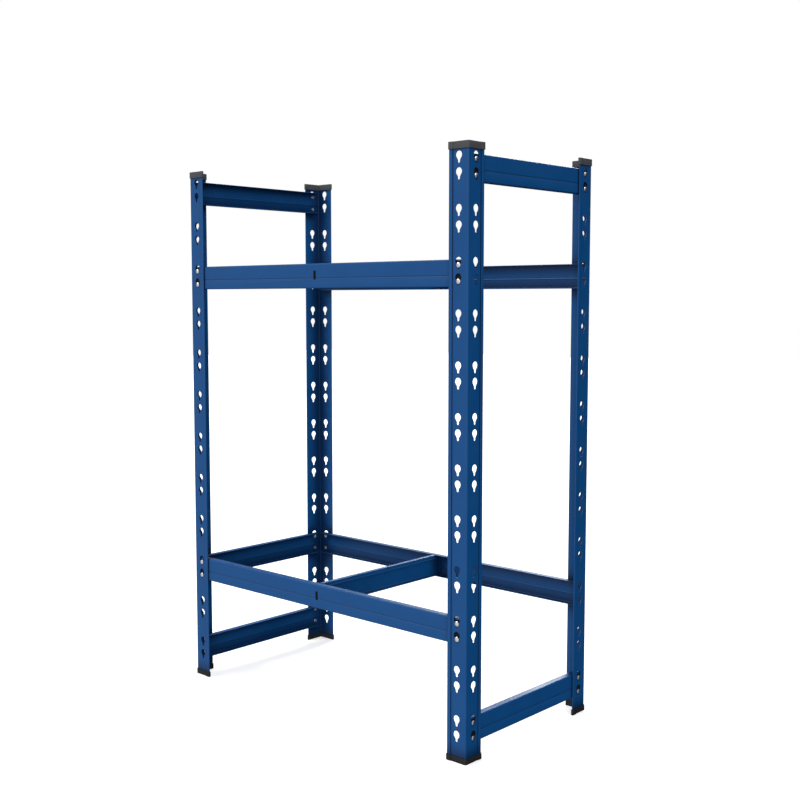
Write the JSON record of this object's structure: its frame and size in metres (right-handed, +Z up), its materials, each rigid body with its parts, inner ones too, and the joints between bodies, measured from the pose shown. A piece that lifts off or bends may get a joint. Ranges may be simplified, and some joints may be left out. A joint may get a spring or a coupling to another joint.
{
  "type": "tyre storage rack",
  "caption": "Boltless tyre rack: punched angle posts, hooked channel beams at tyre levels, side beams as end guards, tie bars, plastic caps and feet.",
  "frame": {"origin": "on the floor, at the centre of the footprint", "axes": "+X along the rack to the right, +Y from the front to the rear, +Z up"},
  "size_m": [0.9, 0.45, 1.28],
  "materials": {
    "powder_blue": "satin blue powder coat on folded steel sheet",
    "black_plastic": "fine-grained black moulded plastic",
    "zinc_rivet": "bright zinc plate"
  },
  "bodies": {
    "frame": {"post_front_left": "powder_blue", "post_front_right": "powder_blue", "post_rear_right": "powder_blue", "post_rear_left": "powder_blue", "cap_front_left": "black_plastic", "cap_front_right": "black_plastic", "cap_rear_right": "black_plastic", "cap_rear_left": "black_plastic", "foot_front_left": "black_plastic", "foot_front_right": "black_plastic", "foot_rear_right": "black_plastic", "foot_rear_left": "black_plastic", "beam_top_left": "powder_blue", "rivet_top_left_rear_high": "zinc_rivet", "rivet_top_left_rear_low": "zinc_rivet", "rivet_top_left_front_high": "zinc_rivet", "rivet_top_left_front_low": "zinc_rivet", "beam_top_right": "powder_blue", "rivet_top_right_front_high": "zinc_rivet", "rivet_top_right_front_low": "zinc_rivet", "rivet_top_right_rear_high": "zinc_rivet", "rivet_top_right_rear_low": "zinc_rivet"},
    "upper_level": {"beam_upper_front": "powder_blue", "rivet_upper_front_left_high": "zinc_rivet", "rivet_upper_front_left_low": "zinc_rivet", "rivet_upper_front_right_high": "zinc_rivet", "rivet_upper_front_right_low": "zinc_rivet", "beam_upper_rear": "powder_blue", "rivet_upper_rear_right_high": "zinc_rivet", "rivet_upper_rear_right_low": "zinc_rivet", "rivet_upper_rear_left_high": "zinc_rivet", "rivet_upper_rear_left_low": "zinc_rivet", "tie_bar_upper": "powder_blue"},
    "lower_level": {"beam_lower_front": "powder_blue", "rivet_lower_front_left_high": "zinc_rivet", "rivet_lower_front_left_low": "zinc_rivet", "rivet_lower_front_right_high": "zinc_rivet", "rivet_lower_front_right_low": "zinc_rivet", "beam_lower_rear": "powder_blue", "rivet_lower_rear_right_high": "zinc_rivet", "rivet_lower_rear_right_low": "zinc_rivet", "rivet_lower_rear_left_high": "zinc_rivet", "rivet_lower_rear_left_low": "zinc_rivet", "tie_bar_lower": "powder_blue"},
    "lower_left_beam": {"beam_lower_left": "powder_blue", "rivet_lower_left_rear_high": "zinc_rivet", "rivet_lower_left_rear_low": "zinc_rivet", "rivet_lower_left_front_high": "zinc_rivet", "rivet_lower_left_front_low": "zinc_rivet"},
    "bottom_left_beam": {"beam_bottom_left": "powder_blue", "rivet_bottom_left_rear_high": "zinc_rivet", "rivet_bottom_left_rear_low": "zinc_rivet", "rivet_bottom_left_front_high": "zinc_rivet", "rivet_bottom_left_front_low": "zinc_rivet"},
    "bottom_right_beam": {"beam_bottom_right": "powder_blue", "rivet_bottom_right_front_high": "zinc_rivet", "rivet_bottom_right_front_low": "zinc_rivet", "rivet_bottom_right_rear_high": "zinc_rivet", "rivet_bottom_right_rear_low": "zinc_rivet"}
  },
  "joints": [
    {"name": "upper_level_lift", "type": "slide", "parent": "frame", "child": "upper_level", "axis": [0, 0, 1], "range_m": [0, 0.008]},
    {"name": "lower_level_lift", "type": "slide", "parent": "frame", "child": "lower_level", "axis": [0, 0, 1], "range_m": [0, 0.008]},
    {"name": "lower_left_beam_lift", "type": "slide", "parent": "frame", "child": "lower_left_beam", "axis": [0, 0, 1], "range_m": [0, 0.008]},
    {"name": "bottom_left_beam_lift", "type": "slide", "parent": "frame", "child": "bottom_left_beam", "axis": [0, 0, 1], "range_m": [0, 0.008]},
    {"name": "bottom_right_beam_lift", "type": "slide", "parent": "frame", "child": "bottom_right_beam", "axis": [0, 0, 1], "range_m": [0, 0.008]}
  ]
}
